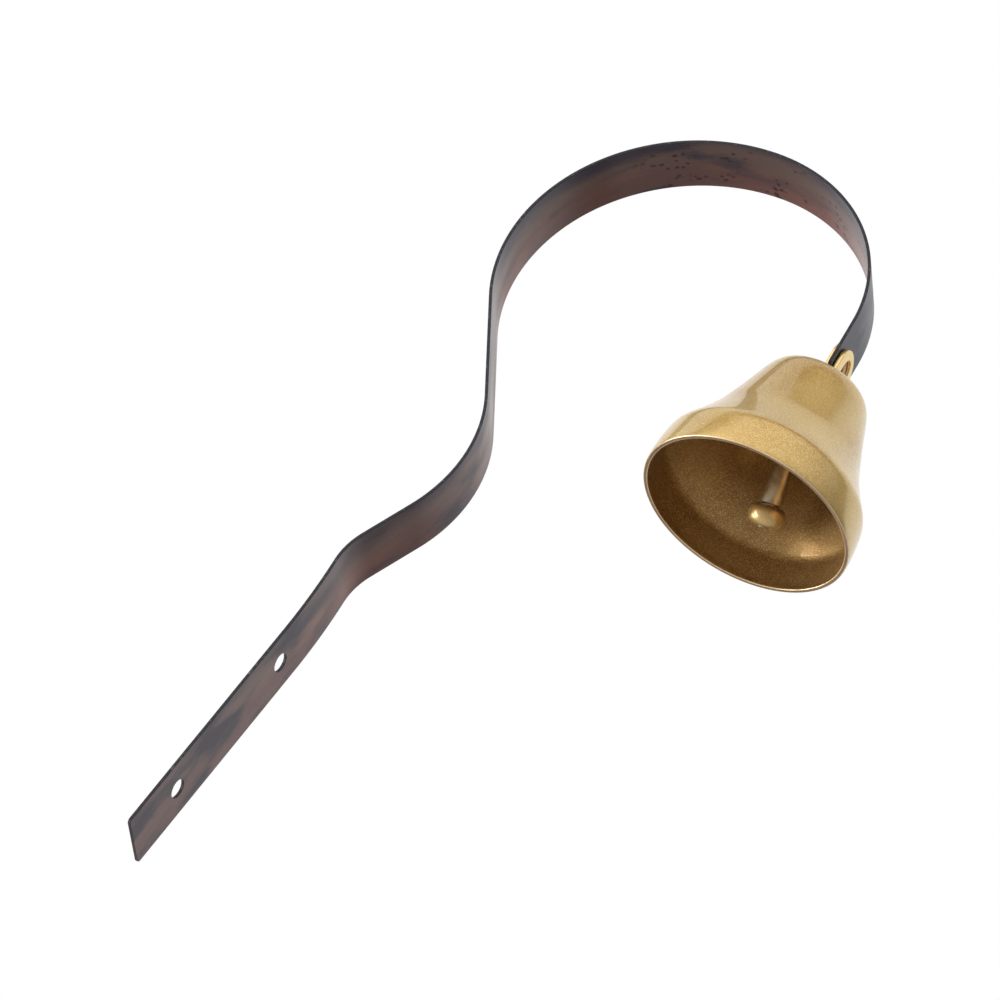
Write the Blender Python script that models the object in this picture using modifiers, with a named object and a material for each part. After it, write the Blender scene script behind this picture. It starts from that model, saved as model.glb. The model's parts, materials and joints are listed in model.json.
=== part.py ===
"""Wall bell: a bent spring strip with a flat leg for the wall and a hung bell.

Row frame: metres, +Z up along the leg, +X away from the wall, Y across the strip.
The origin is on the leg's wall face, half way between its two screw holes.
"""

import math

import bmesh
import bpy
from mathutils import Matrix, Vector

# Running gap left between pieces that touch
GAP = 0.0003

# Spring strip
STRIP_WIDTH = 0.018
STRIP_THICKNESS = 0.0009
LEG_LENGTH = 0.072
LEG_CORNER_RADIUS = 0.0012
SCREW_HOLE_DIAMETER = 0.0054
SCREW_HOLE_FROM_END = 0.020
SCREW_HOLE_SPACING = 0.0475
LEG_SET_RADIUS = 0.229
LEG_SET_TURN = 6.5
OUTWARD_BEND_RADIUS = 0.0225
OUTWARD_BEND_TURN = -28.0
STEP_LENGTH = 0.0155
RETURN_BEND_RADIUS = 0.047
RETURN_BEND_TURN = 53.0
RISER_LENGTH = 0.0345
LOOP_RISE_RADIUS = 0.053
LOOP_RISE_TURN = -116.5
LOOP_FALL_RADIUS = 0.046
LOOP_FALL_TURN = -88.0
TAIL_LENGTH = 0.0165
TAIL_CORNER_RADIUS = 0.002
BEND_STEP = 4.0
FLEX_ALONG_RISER = 0.010

# Bell shell, heights measured up from the mouth
MOUTH_RADIUS = 0.030
RIDGE_RADIUS = 0.0293
RIDGE_HEIGHT = 0.0109
LIP_BULGE = 0.0004
CONE_FOOT_RADIUS = 0.0215
CONE_FOOT_HEIGHT = 0.0254
CONE_LEAN = 19.5
FLARE_PULL = 0.0048
CROWN_CORNER_RADIUS = 0.005
SHELL_HEIGHT = 0.0465
SHELL_WALL = 0.0013
RIM_ROUND = 0.0005
SHELL_STEPS = 56

# Crown yoke: a base disc and two arched ears astride the strip
YOKE_OFFSET = 0.00196
YOKE_BASE_RADIUS = 0.0085
YOKE_BASE_THICKNESS = 0.001
EAR_HALF_WIDTH = 0.007
EAR_THICKNESS = 0.0011
FRONT_EAR_HEIGHT = 0.0139
REAR_EAR_HEIGHT = 0.0155
POCKET_HALF_WIDTH = 0.0031
POCKET_TOP_BAND = 0.0022
POCKET_DEPTH = 0.0007
TAIL_CLEARANCE = 0.0009
EAR_CLEARANCE = 0.0003

# Yoke rivet, along the strip's face normal
RIVET_RADIUS = 0.0013
RIVET_HEAD_RADIUS = 0.0022
RIVET_HEAD_THICKNESS = 0.00035
RIVET_HEIGHT = 0.008

# Clapper staple, washer and nut under the crown
STAPLE_RADIUS = 0.0025
STAPLE_EYE_RADIUS = 0.0032
STAPLE_EYE_WIRE = 0.001
STAPLE_EYE_OVERLAP = 0.0008
WASHER_RADIUS = 0.006
WASHER_THICKNESS = 0.0008
NUT_ACROSS_FLATS = 0.008
NUT_THICKNESS = 0.0027
NUT_TO_EYE = 0.0005

# Clapper
LINK_RADIUS = 0.0036
LINK_WIRE = 0.0008
CLAPPER_EYE_RADIUS = 0.0026
CLAPPER_EYE_WIRE = 0.0009
CLAPPER_TOP_RADIUS = 0.0023
CLAPPER_FOOT_RADIUS = 0.0031
CLAPPER_LENGTH = 0.0201
CLAPPER_TILT = 32.0
HEAD_RADIUS = 0.0051
HEAD_THICKNESS = 0.0054
SPIGOT_RADIUS = 0.0015
PEEN_RADIUS = 0.0024
PEEN_THICKNESS = 0.0006

# Values that follow from the ones above
SCREW_HOLES = (SCREW_HOLE_FROM_END, SCREW_HOLE_FROM_END + SCREW_HOLE_SPACING)
LEG_END_Z = -sum(SCREW_HOLES) / 2
YOKE_BASE_TOP = GAP + YOKE_BASE_THICKNESS
TAIL_TO_CROWN = YOKE_BASE_TOP + TAIL_CLEARANCE
EAR_INNER = STRIP_THICKNESS / 2 + EAR_CLEARANCE
EAR_OUTER = EAR_INNER + EAR_THICKNESS
NUT_TOP = -SHELL_WALL - WASHER_THICKNESS - 2 * GAP
EYE_CENTRE = NUT_TOP - GAP - NUT_THICKNESS - NUT_TO_EYE - STAPLE_EYE_RADIUS - STAPLE_EYE_WIRE
LINK_PIVOT = EYE_CENTRE - STAPLE_EYE_RADIUS
LINK_TOP = STAPLE_EYE_WIRE + LINK_WIRE + GAP
CLAPPER_PIVOT = LINK_TOP - 2 * LINK_RADIUS
CLAPPER_EYE_TOP = LINK_WIRE + CLAPPER_EYE_WIRE + GAP


def clear_scene():
    for obj in list(bpy.data.objects):
        bpy.data.objects.remove(obj)


def new_collection(name):
    collection = bpy.data.collections.new(name)
    bpy.context.scene.collection.children.link(collection)
    return collection


def material(name, colour, roughness, metallic):
    made = bpy.data.materials.new(name)
    made.use_nodes = True
    shader = made.node_tree.nodes["Principled BSDF"]
    shader.inputs["Base Color"].default_value = (*colour, 1.0)
    shader.inputs["Roughness"].default_value = roughness
    shader.inputs["Metallic"].default_value = metallic
    return made


def empty(name, location, rotation=(0, 0, 0), parent=None):
    made = bpy.data.objects.new(name, None)
    PARTS.objects.link(made)
    made.parent = parent
    made.location = location
    made.rotation_euler = rotation
    return made


def mesh_object(name, bm, mat=None):
    """A part if it has a material, otherwise a hidden cutter or joiner."""
    mesh = bpy.data.meshes.new(name)
    bm.to_mesh(mesh)
    bm.free()
    obj = bpy.data.objects.new(name, mesh)
    if mat:
        mesh.materials.append(mat)
        PARTS.objects.link(obj)
    else:
        obj.hide_render = True
        obj.display_type = "WIRE"
        CUTTERS.objects.link(obj)
    return obj


def combine(obj, other, operation):
    modifier = obj.modifiers.new(other.name, "BOOLEAN")
    modifier.object = other
    modifier.operation = operation
    other.parent = obj


def smooth(obj, degrees=35):
    obj.data.shade_smooth()
    obj.data.set_sharp_from_angle(angle=math.radians(degrees))


def cylinder(radius, low, high, axis="Z", segments=32, at=(0, 0, 0)):
    """A closed cylinder along an axis through a point, from low to high along it."""
    bm = bmesh.new()
    bmesh.ops.create_cone(
        bm, cap_ends=True, segments=segments, radius1=radius, radius2=radius, depth=high - low
    )
    bmesh.ops.translate(bm, verts=bm.verts, vec=(0, 0, (low + high) / 2))
    if axis == "X":
        bmesh.ops.transform(bm, matrix=Matrix.Rotation(math.pi / 2, 4, "Y"), verts=bm.verts)
    bmesh.ops.translate(bm, verts=bm.verts, vec=at)
    return bm


def ring(radius, wire, centre_z, plane, steps=36, sides=12):
    """A round wire ring in the XZ or YZ plane, centred on the Z axis."""
    bm = bmesh.new()
    bmesh.ops.create_circle(bm, segments=sides, radius=wire)
    bmesh.ops.translate(bm, verts=bm.verts, vec=(radius, 0, 0))
    bmesh.ops.transform(bm, matrix=Matrix.Rotation(math.pi / 2, 4, "X"), verts=bm.verts)
    bmesh.ops.spin(
        bm, geom=bm.verts[:] + bm.edges[:], cent=(0, 0, 0), axis=(0, 0, 1),
        angle=math.tau, steps=steps, use_merge=True,
    )
    bmesh.ops.transform(bm, matrix=Matrix.Rotation(math.pi / 2, 4, "X"), verts=bm.verts)
    if plane == "YZ":
        bmesh.ops.transform(bm, matrix=Matrix.Rotation(math.pi / 2, 4, "Z"), verts=bm.verts)
    bmesh.ops.translate(bm, verts=bm.verts, vec=(0, 0, centre_z))
    bmesh.ops.recalc_face_normals(bm, faces=bm.faces)
    return bm


def turned(name, profile, mat, steps, closed=False):
    """A profile of (radius, z) points turned about Z, running down its outer side."""
    bm = bmesh.new()
    points = [bm.verts.new((radius, 0, z)) for radius, z in profile]
    for first, second in zip(points, points[1:] + points[:1] if closed else points[1:]):
        bm.edges.new((first, second))
    obj = mesh_object(name, bm, mat)
    screw = obj.modifiers.new("turn", "SCREW")
    screw.axis = "Z"
    screw.angle = math.tau
    screw.steps = screw.render_steps = steps
    screw.use_merge_vertices = True
    screw.merge_threshold = 0.00001
    screw.use_smooth_shade = True
    return obj


def arc(centre, radius, start, end, steps):
    """Points on an arc, angles in degrees from the first axis."""
    angles = [math.radians(start + (end - start) * i / steps) for i in range(steps + 1)]
    return [(centre[0] + radius * math.cos(a), centre[1] + radius * math.sin(a)) for a in angles]


def curve_through(first, pull, last, steps):
    """A quadratic curve from first to last, drawn towards pull."""
    points = []
    for i in range(steps + 1):
        t = i / steps
        a, b, c = (1 - t) ** 2, 2 * t * (1 - t), t * t
        points.append(tuple(a * p + b * q + c * r for p, q, r in zip(first, pull, last)))
    return points


def inset(points, distance):
    """The outline moved to its right-hand side by a distance, with mitred corners."""
    moved = []
    for i, point in enumerate(points):
        here = Vector(point)
        before = (here - Vector(points[i - 1])).normalized() if i else None
        after = (Vector(points[i + 1]) - here).normalized() if i < len(points) - 1 else None
        first, second = before or after, after or before
        side = (Vector((first.y, -first.x)) + Vector((second.y, -second.x))).normalized()
        mitre = distance / max(0.3, side.dot(Vector((first.y, -first.x))))
        moved.append(tuple(here + side * mitre))
    return moved


def strip_runs():
    """The strip's lengths and turns in order, from the leg's free end."""
    return (
        ("leg", LEG_LENGTH, 0),
        ("set", LEG_SET_RADIUS, LEG_SET_TURN),
        ("outward", OUTWARD_BEND_RADIUS, OUTWARD_BEND_TURN),
        ("step", STEP_LENGTH, 0),
        ("return", RETURN_BEND_RADIUS, RETURN_BEND_TURN),
        ("riser_low", FLEX_ALONG_RISER, 0),
        ("riser_high", RISER_LENGTH - FLEX_ALONG_RISER, 0),
        ("loop_rise", LOOP_RISE_RADIUS, LOOP_RISE_TURN),
        ("loop_fall", LOOP_FALL_RADIUS, LOOP_FALL_TURN),
        ("tail", TAIL_LENGTH, 0),
    )


def strip_path():
    """Stations (run, x, z, heading) along the strip's middle plane."""
    x, z, heading = STRIP_THICKNESS / 2, LEG_END_Z, 90.0
    stations = [("start", x, z, heading)]
    for run, size, turn in strip_runs():
        count = max(1, math.ceil(abs(turn) / BEND_STEP))
        length = abs(math.radians(turn)) * size / count if turn else size
        chord = length
        if turn:
            half = math.radians(turn) / count / 2
            chord = length * math.sin(half) / half
        for _ in range(count):
            middle = math.radians(heading + turn / count / 2)
            x += chord * math.cos(middle)
            z += chord * math.sin(middle)
            heading += turn / count
            stations.append((run, x, z, heading))
    return stations


def along(station, distance):
    """The point this far beyond a station, on its heading."""
    _, x, z, heading = station
    angle = math.radians(heading)
    return x + distance * math.cos(angle), z + distance * math.sin(angle)


def strip_sheet(name, points, corner_vertices, corner_radius, origin, mat):
    """A strip along (x, z) points: an edge extruded from point to point, then thickened."""
    bm = bmesh.new()
    edge = bm.edges.new(
        [bm.verts.new((points[0][0], side * STRIP_WIDTH / 2, points[0][1])) for side in (-1, 1)]
    )
    first_pair = list(edge.verts)
    for (x0, z0), (x1, z1) in zip(points, points[1:]):
        grown = bmesh.ops.extrude_edge_only(bm, edges=[edge])["geom"]
        verts = [item for item in grown if isinstance(item, bmesh.types.BMVert)]
        edge = next(item for item in grown if isinstance(item, bmesh.types.BMEdge))
        bmesh.ops.translate(bm, verts=verts, vec=(x1 - x0, 0, z1 - z0))
    corners = first_pair if corner_vertices == "first" else list(edge.verts)
    bmesh.ops.bevel(
        bm, geom=corners, offset=corner_radius, offset_type="OFFSET", segments=4,
        profile=0.5, affect="VERTICES", material=-1,
    )
    bmesh.ops.translate(bm, verts=bm.verts, vec=-Vector(origin))
    obj = mesh_object(name, bm, mat)
    solid = obj.modifiers.new("thickness", "SOLIDIFY")
    solid.thickness = STRIP_THICKNESS
    solid.offset = 0
    solid.use_even_offset = True
    return obj


def make_strip(path, flex, tail_frame):
    """The strip in two lengths that meet at the flex line on the riser."""
    cut = next(i for i, station in enumerate(path) if station[0] == "riser_low")
    leg_points = [(x, z) for _, x, z, _ in path[:cut]]
    leg_points.append(along(path[cut], -GAP / 2))
    leg = strip_sheet(
        "strip_wall_leg", leg_points, "first", LEG_CORNER_RADIUS, (0, 0, 0), STEEL
    )
    for i, distance in enumerate(SCREW_HOLES):
        hole = cylinder(
            SCREW_HOLE_DIAMETER / 2, -STRIP_THICKNESS, 2 * STRIP_THICKNESS, "X",
            at=(0, 0, LEG_END_Z + distance),
        )
        combine(leg, mesh_object(f"screw_hole_{i + 1}_cutter", hole), "DIFFERENCE")
    smooth(leg)

    loop_points = [along(path[cut], GAP / 2)] + [(x, z) for _, x, z, _ in path[cut + 1:]]
    loop = strip_sheet(
        "strip_loop", loop_points, "last", TAIL_CORNER_RADIUS, flex.location, STEEL
    )
    loop.parent = flex
    reach = 3 * STRIP_THICKNESS
    hole = cylinder(RIVET_RADIUS + GAP, -reach, reach, "X")
    hole.transform(tail_frame)
    bmesh.ops.translate(hole, verts=hole.verts, vec=-flex.location)
    combine(loop, mesh_object("rivet_hole_cutter", hole), "DIFFERENCE")
    smooth(loop)


def shell_outline():
    """The shell's outer side as (radius, z) from the crown hole to the mouth, z from the crown."""
    slope = math.tan(math.radians(CONE_LEAN))
    top = -CROWN_CORNER_RADIUS
    corner_turn = math.radians(90 - CONE_LEAN)
    cone_at_top = CONE_FOOT_RADIUS - slope * (SHELL_HEIGHT - CONE_FOOT_HEIGHT)
    corner_x = cone_at_top - CROWN_CORNER_RADIUS * math.tan(corner_turn / 2)
    crown = [(STAPLE_RADIUS + GAP, 0.0)]
    crown += arc((corner_x, top), CROWN_CORNER_RADIUS, 90, CONE_LEAN, 7)
    foot = CONE_FOOT_HEIGHT - SHELL_HEIGHT
    pull = (CONE_FOOT_RADIUS + slope * FLARE_PULL, foot - FLARE_PULL)
    ridge = (RIDGE_RADIUS, RIDGE_HEIGHT - SHELL_HEIGHT)
    flare = curve_through((CONE_FOOT_RADIUS, foot), pull, ridge, 8)
    bulge = (MOUTH_RADIUS + LIP_BULGE, RIDGE_HEIGHT / 2 - SHELL_HEIGHT)
    lip = curve_through(ridge, bulge, (MOUTH_RADIUS, -SHELL_HEIGHT), 4)
    return crown + flare + lip[1:]


def make_shell(bell_place):
    outer = shell_outline()
    inner = inset(outer, SHELL_WALL)
    inner[0] = (outer[0][0], -SHELL_WALL)
    mouth, lining = outer.pop(), inner.pop()
    centre = (mouth[0] - RIM_ROUND, mouth[1] + RIM_ROUND)
    rim = arc(centre, RIM_ROUND, 0, -90, 3)
    centre = (lining[0] + RIM_ROUND, mouth[1] + RIM_ROUND)
    rim += arc(centre, RIM_ROUND, -90, -180, 3)
    shell = turned("bell_shell", outer + rim + inner[::-1], GOLD, SHELL_STEPS, closed=True)
    shell.parent, shell.location = bell_place


def arch(half_width, foot, crest, low, high):
    """An upright arched plate in the YZ plane, from x = low to x = high."""
    bm = bmesh.new()
    outline = [(-half_width, foot)] + arc((0, crest - half_width), half_width, 180, 0, 16)
    outline.append((half_width, foot))
    face = bm.faces.new([bm.verts.new((low, y, z)) for y, z in outline])
    grown = bmesh.ops.extrude_face_region(bm, geom=[face])["geom"]
    verts = [item for item in grown if isinstance(item, bmesh.types.BMVert)]
    bmesh.ops.translate(bm, verts=verts, vec=(high - low, 0, 0))
    bmesh.ops.recalc_face_normals(bm, faces=bm.faces)
    return bm


def make_yoke(bell_place):
    yoke = mesh_object(
        "crown_yoke",
        cylinder(YOKE_BASE_RADIUS, GAP, YOKE_BASE_TOP, segments=48),
        BRASS,
    )
    middle = (GAP + YOKE_BASE_TOP) / 2
    for name, side, height in (("front", 1, FRONT_EAR_HEIGHT), ("rear", -1, REAR_EAR_HEIGHT)):
        inner, outer = YOKE_OFFSET + side * EAR_INNER, YOKE_OFFSET + side * EAR_OUTER
        ear = arch(EAR_HALF_WIDTH, middle, height, *sorted((inner, outer)))
        combine(yoke, mesh_object(f"{name}_ear_joiner", ear), "UNION")
        floor = outer - side * POCKET_DEPTH
        pocket = arch(
            POCKET_HALF_WIDTH, YOKE_BASE_TOP, height - POCKET_TOP_BAND,
            *sorted((floor, outer + side * POCKET_DEPTH)),
        )
        combine(yoke, mesh_object(f"{name}_pocket_cutter", pocket), "DIFFERENCE")
    reach = 2 * EAR_OUTER
    cross = cylinder(
        RIVET_RADIUS + GAP, YOKE_OFFSET - reach, YOKE_OFFSET + reach, "X", at=(0, 0, RIVET_HEIGHT)
    )
    combine(yoke, mesh_object("yoke_rivet_hole_cutter", cross), "DIFFERENCE")
    bore = cylinder(STAPLE_RADIUS + GAP, -YOKE_BASE_TOP, TAIL_TO_CROWN)
    combine(yoke, mesh_object("yoke_bore_cutter", bore), "DIFFERENCE")
    smooth(yoke)
    yoke.parent, yoke.location = bell_place


def make_rivet(rivet_axis):
    """Headed at both ends: a shank through the ears and strip, a flat head in each pocket."""
    seat = EAR_OUTER - POCKET_DEPTH + GAP
    reach = seat + RIVET_HEAD_THICKNESS / 2
    rivet = mesh_object("yoke_rivet", cylinder(RIVET_RADIUS, -reach, reach, "X", segments=24), BRASS)
    for name, side in (("front", 1), ("rear", -1)):
        low, high = sorted((side * seat, side * (seat + RIVET_HEAD_THICKNESS)))
        head = cylinder(RIVET_HEAD_RADIUS, low, high, "X", segments=24)
        combine(rivet, mesh_object(f"{name}_rivet_head_joiner", head), "UNION")
    smooth(rivet)
    rivet.parent = rivet_axis


def make_staple(bell_place):
    """Threaded shank up into the yoke's base, with a forged eye below the nut."""
    eye_top = EYE_CENTRE + STAPLE_EYE_RADIUS + STAPLE_EYE_WIRE
    shank_foot = eye_top - STAPLE_EYE_WIRE - STAPLE_EYE_OVERLAP
    shank = cylinder(STAPLE_RADIUS, shank_foot, YOKE_BASE_TOP - GAP)
    staple = mesh_object("clapper_staple", shank, STEEL_PLAIN)
    eye = ring(STAPLE_EYE_RADIUS, STAPLE_EYE_WIRE, EYE_CENTRE, "XZ")
    combine(staple, mesh_object("staple_eye_joiner", eye), "UNION")
    smooth(staple)
    staple.parent, staple.location = bell_place


def make_crown_fasteners(bell_place):
    low = -SHELL_WALL - GAP - WASHER_THICKNESS
    disc = cylinder(WASHER_RADIUS, low, low + WASHER_THICKNESS)
    washer = mesh_object("crown_washer", disc, STEEL_PLAIN)
    corner = NUT_ACROSS_FLATS / 2 / math.cos(math.pi / 6)
    hexagon = cylinder(corner, NUT_TOP - NUT_THICKNESS, NUT_TOP, segments=6)
    nut = mesh_object("crown_nut", hexagon, STEEL_PLAIN)
    for piece, base in ((washer, low), (nut, NUT_TOP - NUT_THICKNESS)):
        bore = cylinder(STAPLE_RADIUS + GAP, base - NUT_THICKNESS, base + 2 * NUT_THICKNESS)
        combine(piece, mesh_object(f"{piece.name}_bore_cutter", bore), "DIFFERENCE")
        smooth(piece)
        piece.parent, piece.location = bell_place


def make_link(link_axis):
    bm = ring(LINK_RADIUS, LINK_WIRE, LINK_TOP - LINK_RADIUS, "YZ")
    link = mesh_object("clapper_link", bm, STEEL_PLAIN)
    smooth(link)
    link.parent = link_axis


def make_clapper(clapper_axis):
    """A tapered rod with an eye on top, and a button head on its spigot."""
    head_top = -CLAPPER_LENGTH + HEAD_THICKNESS / 2
    head_low = head_top - HEAD_THICKNESS
    eye_centre = CLAPPER_EYE_TOP - CLAPPER_EYE_RADIUS
    eye_foot = eye_centre - CLAPPER_EYE_RADIUS
    spigot_end = head_low - GAP
    profile = [
        (0.0, eye_foot),
        (CLAPPER_TOP_RADIUS, eye_foot),
        (CLAPPER_FOOT_RADIUS, head_top + GAP),
        (SPIGOT_RADIUS, head_top + GAP),
        (SPIGOT_RADIUS, spigot_end),
        (PEEN_RADIUS, spigot_end),
        (PEEN_RADIUS * 0.7, spigot_end - PEEN_THICKNESS),
        (0.0, spigot_end - PEEN_THICKNESS),
    ]
    rod = turned("clapper_rod", profile, GOLD, 28)
    eye = ring(CLAPPER_EYE_RADIUS, CLAPPER_EYE_WIRE, eye_centre, "XZ")
    combine(rod, mesh_object("clapper_eye_joiner", eye), "UNION")
    rod.parent = clapper_axis

    bore = SPIGOT_RADIUS + GAP
    middle = (head_top + head_low) / 2
    flat = HEAD_RADIUS * 0.55
    top_side = curve_through((flat, head_top), (HEAD_RADIUS, head_top), (HEAD_RADIUS, middle), 6)
    low_side = curve_through((HEAD_RADIUS, middle), (HEAD_RADIUS, head_low), (flat, head_low), 6)
    profile = [(bore, head_top)] + top_side + low_side[1:] + [(bore, head_low)]
    head = turned("clapper_head", profile, GOLD, 36, closed=True)
    head.parent = clapper_axis


def main():
    path = strip_path()
    flex_station = next(station for station in path if station[0] == "riser_low")
    flex = empty("strip_flex_axis", (flex_station[1], 0, flex_station[2]))

    end = path[-1]
    lean = math.radians(90 + end[3])
    turn = Matrix.Rotation(-lean, 4, "Y")
    below_rivet = RIVET_HEIGHT - TAIL_TO_CROWN
    rivet_x, rivet_z = along(end, -below_rivet)
    rivet_point = Vector((rivet_x, 0, rivet_z))
    make_strip(path, flex, Matrix.Translation(rivet_point) @ turn)

    rivet_axis = empty("rivet_axis", rivet_point - flex.location, (0, -lean, 0), flex)
    bell_place = (rivet_axis, Vector((-YOKE_OFFSET, 0, -RIVET_HEIGHT)))
    make_rivet(rivet_axis)
    make_yoke(bell_place)
    make_shell(bell_place)
    make_staple(bell_place)
    make_crown_fasteners(bell_place)

    link_at = bell_place[1] + Vector((0, 0, LINK_PIVOT))
    link_axis = empty("link_axis", link_at, (math.radians(CLAPPER_TILT), 0, 0), rivet_axis)
    make_link(link_axis)
    clapper_axis = empty("clapper_axis", (0, 0, CLAPPER_PIVOT), parent=link_axis)
    make_clapper(clapper_axis)


clear_scene()
PARTS = new_collection("wall_bell")
CUTTERS = new_collection("cutters")
STEEL = material("spring_steel", (0.13, 0.09, 0.09), 0.5, 0.6)
STEEL_PLAIN = material("zinc_steel", (0.5, 0.48, 0.44), 0.4, 0.9)
GOLD = material("gold_paint", (0.52, 0.36, 0.13), 0.35, 0.7)
BRASS = material("brass", (0.7, 0.5, 0.2), 0.3, 0.9)
main()
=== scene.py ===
"""A shop bell for the wall: a blued spring strip bent by hand, with a gold-painted bell hung from its end."""

import json
import math

import bmesh
import bpy
from mathutils import Matrix, Vector


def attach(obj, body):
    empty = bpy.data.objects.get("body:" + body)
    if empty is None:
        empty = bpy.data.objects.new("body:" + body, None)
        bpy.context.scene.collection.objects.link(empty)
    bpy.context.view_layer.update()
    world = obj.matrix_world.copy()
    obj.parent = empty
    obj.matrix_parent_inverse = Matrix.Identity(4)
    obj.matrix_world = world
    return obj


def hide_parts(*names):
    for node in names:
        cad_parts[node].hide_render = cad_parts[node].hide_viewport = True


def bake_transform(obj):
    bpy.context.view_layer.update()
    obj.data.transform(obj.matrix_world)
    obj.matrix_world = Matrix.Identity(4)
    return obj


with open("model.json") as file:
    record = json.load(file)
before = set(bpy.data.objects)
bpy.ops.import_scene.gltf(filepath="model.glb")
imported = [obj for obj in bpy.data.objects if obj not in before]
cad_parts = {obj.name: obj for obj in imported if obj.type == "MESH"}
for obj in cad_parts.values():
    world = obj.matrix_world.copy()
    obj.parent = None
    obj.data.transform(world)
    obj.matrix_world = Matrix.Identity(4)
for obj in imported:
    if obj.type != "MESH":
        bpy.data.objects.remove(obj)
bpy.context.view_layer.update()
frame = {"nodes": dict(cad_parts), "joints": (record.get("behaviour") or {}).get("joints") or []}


# The place where the bell is shown: a white room with one soft box at the left and a pale floor far
# below. The camera looks up at the bell from below, leaning over to one side. The metal reflects
# ROOM_TONES, each at a place from -1, straight behind the bell, to 1, at the camera.
VIEW_CENTRE = Vector((0.02275, -0.00327, 0.09601))
VIEW_DISTANCE = 2.1479
VIEW_AZIMUTH = -62.686
VIEW_ELEVATION = -29.469
VIEW_LEAN = 38.919
LENS = 291.94
FAR_CLIP = 50
FLOOR_DROP = 1.55
FLOOR_SIZE = 16.0
FLOOR_DARK = (0.60, 0.60, 0.59)
FLOOR_PALE = (0.64, 0.64, 0.63)
ROOM_WHITE = (1.0, 1.0, 1.0)
ROOM_TONES = (
    (-1.0, (1.0, 1.0, 1.0)),
    (-0.41, (1.0, 1.0, 1.0)),
    (-0.34, (0.07, 0.035, 0.015)),
    (-0.24, (0.22, 0.14, 0.08)),
    (-0.10, (0.66, 0.63, 0.59)),
    (0.15, (0.80, 0.79, 0.77)),
    (0.98, (0.44, 0.42, 0.39)),
)
LOW_LIGHT = 0.04
HIGH_LIGHT = 1.95
LIGHT_FROM = -0.35
LIGHT_TO = 1.0
FRONT_FROM = -0.40
FRONT_TO = -0.15


def facing(azimuth, elevation):
    """The direction at this azimuth and elevation, in degrees."""
    across, up = math.radians(azimuth), math.radians(elevation)
    return Vector((math.cos(up) * math.cos(across), math.cos(up) * math.sin(across), math.sin(up)))


view_back = facing(VIEW_AZIMUTH, VIEW_ELEVATION)
camera = bpy.data.objects.new("camera", bpy.data.cameras.new("camera"))
camera.data.lens = LENS
camera.data.clip_end = FAR_CLIP
lean = Matrix.Rotation(math.radians(VIEW_LEAN), 4, "Z")
level = view_back.to_track_quat("Z", "Y").to_matrix().to_4x4()
camera.matrix_world = Matrix.Translation(VIEW_CENTRE + VIEW_DISTANCE * view_back) @ level @ lean
bpy.context.scene.collection.objects.link(camera)
bpy.context.scene.camera = camera
view_right, view_up = camera.matrix_world.col[0].xyz, camera.matrix_world.col[1].xyz


def soft_box(name, right, up, back, size, power):
    """A square light, placed by how far it is to the right, up and back from the bell as seen."""
    light = bpy.data.lights.new(name, "AREA")
    light.shape = "SQUARE"
    light.size = size
    light.energy = power
    holder = bpy.data.objects.new(name, light)
    offset = right * view_right + up * view_up + back * view_back
    turn = offset.to_track_quat("Z", "Y").to_matrix().to_4x4()
    holder.matrix_world = Matrix.Translation(VIEW_CENTRE + offset) @ turn
    bpy.context.scene.collection.objects.link(holder)


soft_box("left_soft_box", right=-1.3, up=0.0, back=0.1, size=1.0, power=27)

room = bpy.data.worlds.new("white_room")
bpy.context.scene.world = room
room.use_nodes = True
walls = room.node_tree
sight = walls.nodes.new("ShaderNodeLightPath")
around = walls.nodes.new("ShaderNodeTexCoord")
towards = walls.nodes.new("ShaderNodeVectorMath")
towards.operation = "DOT_PRODUCT"
towards.inputs[1].default_value = view_back
walls.links.new(around.outputs["Generated"], towards.inputs[0])
shift = walls.nodes.new("ShaderNodeMapRange")
shift.inputs["From Min"].default_value = -1.0
walls.links.new(towards.outputs["Value"], shift.inputs["Value"])
ramp = walls.nodes.new("ShaderNodeValToRGB")
ramp.color_ramp.interpolation = "EASE"
while len(ramp.color_ramp.elements) < len(ROOM_TONES):
    ramp.color_ramp.elements.new(0.5)
for stop, (place, tone) in zip(ramp.color_ramp.elements, ROOM_TONES):
    stop.position = (place + 1) / 2
    stop.color = (*tone, 1)
walls.links.new(shift.outputs["Result"], ramp.inputs["Fac"])
seen = walls.nodes.new("ShaderNodeMix")
seen.data_type = "RGBA"
seen.inputs["B"].default_value = (*ROOM_WHITE, 1)
walls.links.new(sight.outputs["Is Camera Ray"], seen.inputs["Factor"])
upward = walls.nodes.new("ShaderNodeVectorMath")
upward.operation = "DOT_PRODUCT"
upward.inputs[1].default_value = view_up
walls.links.new(around.outputs["Generated"], upward.inputs[0])
height_light = walls.nodes.new("ShaderNodeMapRange")
height_light.interpolation_type = "SMOOTHSTEP"
height_light.inputs["From Min"].default_value = LIGHT_FROM
height_light.inputs["From Max"].default_value = LIGHT_TO
height_light.inputs["To Min"].default_value = LOW_LIGHT
height_light.inputs["To Max"].default_value = HIGH_LIGHT
walls.links.new(upward.outputs["Value"], height_light.inputs["Value"])
in_front = walls.nodes.new("ShaderNodeMapRange")
in_front.inputs["From Min"].default_value = FRONT_FROM
in_front.inputs["From Max"].default_value = FRONT_TO
in_front.inputs["To Min"].default_value = 1.0
walls.links.new(towards.outputs["Value"], in_front.inputs["Value"])
walls.links.new(height_light.outputs["Result"], in_front.inputs["To Max"])
lit = walls.nodes.new("ShaderNodeVectorMath")
lit.operation = "SCALE"
walls.links.new(ramp.outputs["Color"], lit.inputs["Vector"])
walls.links.new(in_front.outputs["Result"], lit.inputs["Scale"])
walls.links.new(lit.outputs["Vector"], seen.inputs["A"])
walls.links.new(seen.outputs["Result"], walls.nodes["Background"].inputs["Color"])
bpy.context.scene.view_settings.view_transform = "Standard"


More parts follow.
